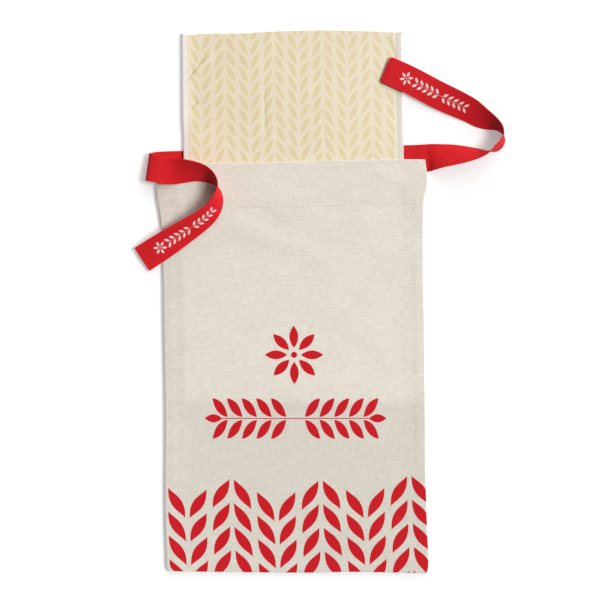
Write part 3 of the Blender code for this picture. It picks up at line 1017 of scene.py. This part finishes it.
TIE_ROUTE = (
    # x, y, foot, direction, lean
    # foot is the height of what the tape's lower edge stands on. direction is that of its width in plan,
    # and lean its tilt, both in degrees: 0 lies flat, 90 stands on edge, 180 lies flat on its other face.
    (-153.3, 106.4, 4.2, -56.5, 176.0),
    (-140.0, 114.8, 6.3, -56.5, 170.0),
    (-125.5, 124.0, 6.3, -56.5, 159.0),
    (-111.2, 133.1, 6.6, -56.0, 147.0),
    (-99.2, 140.9, 8.0, -54.0, 139.0),
    (-88.8, 148.5, 9.4, -46.0, 132.0),
    (-81.0, 157.0, 10.9, -32.0, 123.0),
    (-77.0, 166.0, 11.6, -15.0, 112.0),
    (-76.2, 172.6, 11.6, -3.0, 101.0),
    (-76.8, 177.8, 11.5, 14.0, 90.0),
    (-78.8, 181.6, 11.2, 30.0, 80.0),
    (-82.6, 185.8, 10.8, 46.0, 69.0),
    (-88.9, 190.3, 10.4, 66.0, 58.0),
    (-96.8, 193.0, 9.8, 83.0, 50.0),
    (-107.5, 194.0, 8.9, 90.0, 38.0),
    (-118.5, 194.0, 8.6, 88.0, 23.0),
    (-130.0, 194.6, 13.4, 80.0, 7.0),
    (-137.5, 196.2, 16.5, 76.0, 1.0),
    (-144.2, 197.7, 14.8, 78.0, 0.0),
    (-147.2, 198.6, 8.5, 82.0, 0.0),
    (-144.5, 199.4, 2.4, 86.0, 0.0),
    (-138.5, 200.4, 0.3, 89.0, 0.0),
    (-128.0, 201.0, 0.0, 91.0, 0.0),
    (-60.0, 202.8, 0.0, 91.3, 0.0),
    (60.0, 205.8, 0.0, 91.3, 0.0),
    (118.0, 207.3, 0.0, 91.5, 0.0),
    (131.5, 208.0, 0.0, 93.0, 0.0),
    (138.0, 208.9, 0.0, 95.0, -16.0),
    (146.0, 209.9, 0.0, 97.0, -29.0),
    (159.5, 211.0, 0.0, 97.0, -41.0),
    (176.8, 211.8, 0.0, 97.0, -60.0),
    (187.3, 213.0, 0.0, 104.0, -75.5),
    (194.3, 214.7, 0.0, 125.0, -90.0),
    (200.3, 217.1, 0.0, 152.0, -104.0),
    (205.7, 223.4, 0.0, 171.0, -104.0),
    (207.0, 230.2, 0.0, 189.0, -95.0),
    (203.0, 237.0, 0.0, 215.0, -80.0),
    (195.2, 241.6, 0.2, 234.0, -62.0),
    (185.6, 247.0, 0.8, 240.0, -46.0),
    (173.4, 255.2, 1.8, 242.0, -31.0),
    (142.4, 270.4, 3.8, 243.0, -8.0),
    (112.7, 285.9, 5.8, 245.0, -2.0),
    (89.4, 296.1, 8.4, 247.5, 0.0),
)
TAPE_MARKS = (
    # distance of the rosette's middle from the start, that of the garland's middle
    (22.5, 60.3),
    (678.4, 640.4),
)
TAPE_LEAVES_START = 2.6
TAPE_STEM = (27.0, 0.35)  # half length and half thickness
TAPE_ROSETTE = {"petals": 6, "inner": 1.4, "outer": 7.2, "half_width": 1.5, "eye": 1.0}
TAPE_LEAVES = {
    "gap": 0.5, "reach": 4.7, "slope": 0.9, "rows_apart": 5.8, "thick": 3.7, "skew": 0.25, "full": 0.6,
    "rows": (0, 4),
}


def tape_centre(row):
    x, y, foot, _, lean = row
    tilt = radians(lean)
    return Vector((x, y, foot + TAPE / 2 * abs(cos(tilt)) + TAPE_WIDTH / 2 * abs(sin(tilt))))


def tape_across(row):
    """Unit vector across the tape, from its lower long edge to its upper one as it lies behind the bag."""
    direction, tilt = radians(row[3]), radians(row[4])
    return Vector((cos(tilt) * cos(direction), cos(tilt) * sin(direction), sin(tilt)))


travelled = [0.0]
for row, following in zip(TIE_ROUTE, TIE_ROUTE[1:]):
    travelled.append(travelled[-1] + dist(tape_centre(row), tape_centre(following)))
tie_length = travelled[-1]
tie_row = curve_through([(key, *row) for key, row in zip(travelled, TIE_ROUTE)])


def tape_frame(along):
    """The tape's middle at a distance along it, and its directions across and off its printed face."""
    row = tie_row(along)
    middle = tape_centre(row)
    back = tape_centre(tie_row(max(along - TAPE_AHEAD, 0.0)))
    ahead = tape_centre(tie_row(min(along + TAPE_AHEAD, tie_length)))
    across = tape_across(row)
    return middle, across, (ahead - back).cross(across).normalized()


def tape_lies(across, along, side):
    """Where a point of the tape is. It is twice as thick where its end is turned under."""
    middle, width, face = tape_frame(along)
    turn = tie_length - TAPE_END_TURN
    upper, lower = TAPE / 2, -TAPE * (0.5 + ease(turn - TAPE_TURN_STEP, turn + TAPE_TURN_STEP, along))
    selvedge = roll(TAPE_WIDTH / 2 - abs(across), TAPE_ROUND) * TAPE_CLOSED[0]
    fold = roll(tie_length - along, TAPE) * TAPE_CLOSED[1]
    cut = roll(along, TAPE_ROUND) * TAPE_CLOSED[2]
    closed = max(selvedge, fold, cut)
    between = (upper + lower) / 2
    off = between + ((upper if side > 0 else lower) - between) * (1 - closed)
    narrowed = across * (1 - TAPE_CORNER * 2 / TAPE_WIDTH * roll(tie_length - along, TAPE_CORNER))
    return (across, along), middle + width * narrowed + face * off


def tape_material(name):
    """Red tape, woven in fine ribs from edge to edge, with a small white print near its ends."""
    material, shader, field = new_material(name)
    u, v, side = flat_cloth(field)
    ribs = (v * (2 * pi / TAPE_RIBS)).sine() * 0.5 + 0.5
    ends = (u * (2 * pi / TAPE_WARP)).sine() * 0.5 + 0.5
    selvedge = ((abs(u) - (TAPE_WIDTH / 2 - TAPE_SELVEDGE)) * 2.5).kept()
    knots = (v * (2 * pi / TAPE_KNOTS)).sine() * 0.5 + 0.5
    streaks = field.mottle(u, v, 7.0, 0.9)
    clouds = field.mottle(u, v, 3.0, 14.0)
    light = (ribs * 0.2 + ends * 0.1 + streaks * 0.8 + clouds * 0.4 - 0.23 + selvedge * knots * 0.45).kept()
    bent = (field.mottle(u, v, 5.0, 5.0) - 0.5) * 2.4
    # painted shade across the tape where its turned end's fold stands a little off it
    fold_shade = (1 - abs(v + bent - (tie_length - TAPE_FOLD_SHADE[0])) / TAPE_FOLD_SHADE[1]).kept()
    base = light.blend(colour(TAPE_RED_DARK), colour(TAPE_RED)).scaled(1 - fold_shade * TAPE_FOLD_SHADE[2])
    marks = None
    for badge_at, line_at in TAPE_MARKS:
        badge = rosette(field, u, v - badge_at, **TAPE_ROSETTE)
        out = abs(v - line_at)
        leaves = leaf_rows(abs(u), out - TAPE_LEAVES_START, 1.0, **TAPE_LEAVES)
        stem = ((TAPE_STEM[0] - out).smaller(TAPE_STEM[1] - abs(u)) * INK_EDGE).kept()
        mark = badge.larger(leaves).larger(stem)
        marks = marks.larger(mark) if marks else mark
    white = marks * (side > 0) * (ribs * 0.15 + 0.85)
    base = white.blend(base, colour(TAPE_WHITE))
    dress(shader, field, base, ribs * 0.06 + 0.80, ribs * 0.10 + ends * 0.03)
    shader.inputs["Specular IOR Level"].default_value = 0.2
    return material


half_tape = [TAPE_WIDTH / 2 - step for step in TAPE_STEPS]
flat_tape = even_steps(half_tape[-1], -half_tape[-1], TAPE_COLUMNS)[1:-1]
tape_columns = sorted([*half_tape, *[-place for place in half_tape], *flat_tape])
even_tape = even_steps(TAPE_EVEN[0], tie_length - TAPE_EVEN[1], round(tie_length / TAPE_MESH))
tape_rows = [*TAPE_CUT_STEPS, *even_tape, *[tie_length - step for step in TAPE_TURNED_STEPS]]
tie = lay_cloth("tie_tape_woven", tape_columns, tape_rows, tape_lies)
tie.data.materials.append(tape_material("red cotton tape"))
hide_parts("tie_tape")


# --------------------
# Tie stitching. Red sewing thread: one row holds the turned right end of the tape, and one at its middle
# sews it to the back of the bag's hem.
# --------------------
TIE_STITCH_EDGE = 1.2


def tie_stitches(along, side):
    """A row of stitches across the tape on one of its faces."""
    middle, width, face = tape_frame(along)
    half = TAPE_WIDTH / 2 - TIE_STITCH_EDGE
    stitches = round(2 * half / STITCH_LENGTH)
    row = []
    for k in range(stitches * STITCH_POINTS + 1):
        across = half * (2 * k / (stitches * STITCH_POINTS) - 1)
        off = side * (TAPE / 2 + stitch_height(k, 0.3))
        place = middle + width * across + face * off
        row.append((place.x, place.y, max(place.z, STITCH_RADIUS)))
    return row


tie_rows = [tie_stitches(tie_length - TAPE_STITCH_IN, 1), tie_stitches(tie_length / 2, 1)]
tie_stitching = sew("tie_stitching", tie_rows, STITCH_RADIUS)
tie_stitching.data.materials.append(thread_material("red sewing thread", RED_THREAD))


# --------------------
# Floor, light and camera. A plain pale table, a lamp from the right, a broad low one from the upper right,
# white light from all round, and a camera straight above.
# --------------------
FLOOR_SIZE = 8.0  # metres, as in all of this section
FLOOR_BELOW = 0.0002
WHITE = (1.0, 1.0, 1.0, 1.0)
FLOOR_WHITE = (0.630, 0.630, 0.630)
FLOOR_GLOW = 0.32  # it is lit from below too, so shadows on it stay light
LAMPS = (
    # name, power, how wide it looks, height over the table, side it shines from; all angles in degrees
    ("key lamp", 2.42, 20.0, 60.0, 0.0),
    ("upper lamp", 1.95, 64.0, 36.0, 64.0),
)
WORLD_LIGHT = 0.12
CAMERA_PLACE = (0.0045, 0.066, 2.4)

table = bmesh.new()
bmesh.ops.create_grid(table, x_segments=1, y_segments=1, size=FLOOR_SIZE / 2)
table_mesh = bpy.data.meshes.new("floor")
table.to_mesh(table_mesh)
table.free()
floor = put_in_scene("floor", table_mesh)
floor.location.z = -FLOOR_BELOW
floor_material, floor_shader, _ = new_material("pale table")
for socket, value in (
    ("Base Color", colour(FLOOR_WHITE)),
    ("Emission Color", WHITE),
    ("Emission Strength", FLOOR_GLOW),
    ("Roughness", 0.9),
    ("Specular IOR Level", 0.1),
):
    floor_shader.inputs[socket].default_value = value
floor.data.materials.append(floor_material)

for name, power, width, height, side in LAMPS:
    lamp = bpy.data.lights.new(name, "SUN")
    lamp.energy = power
    lamp.angle = radians(width)
    put_in_scene(name, lamp).rotation_euler = (0.0, radians(90.0 - height), radians(side))

world = bpy.data.worlds.new("white room")
world.use_nodes = True
sky = world.node_tree.nodes["Background"].inputs
sky["Color"].default_value = WHITE
sky["Strength"].default_value = WORLD_LIGHT
bpy.context.scene.world = world
bpy.context.scene.view_settings.view_transform = "Standard"

camera = bpy.data.cameras.new("camera")
camera.lens = 144.0
camera.sensor_width = 36.0
camera_object = put_in_scene("camera", camera)
camera_object.location = CAMERA_PLACE
bpy.context.scene.camera = camera_object
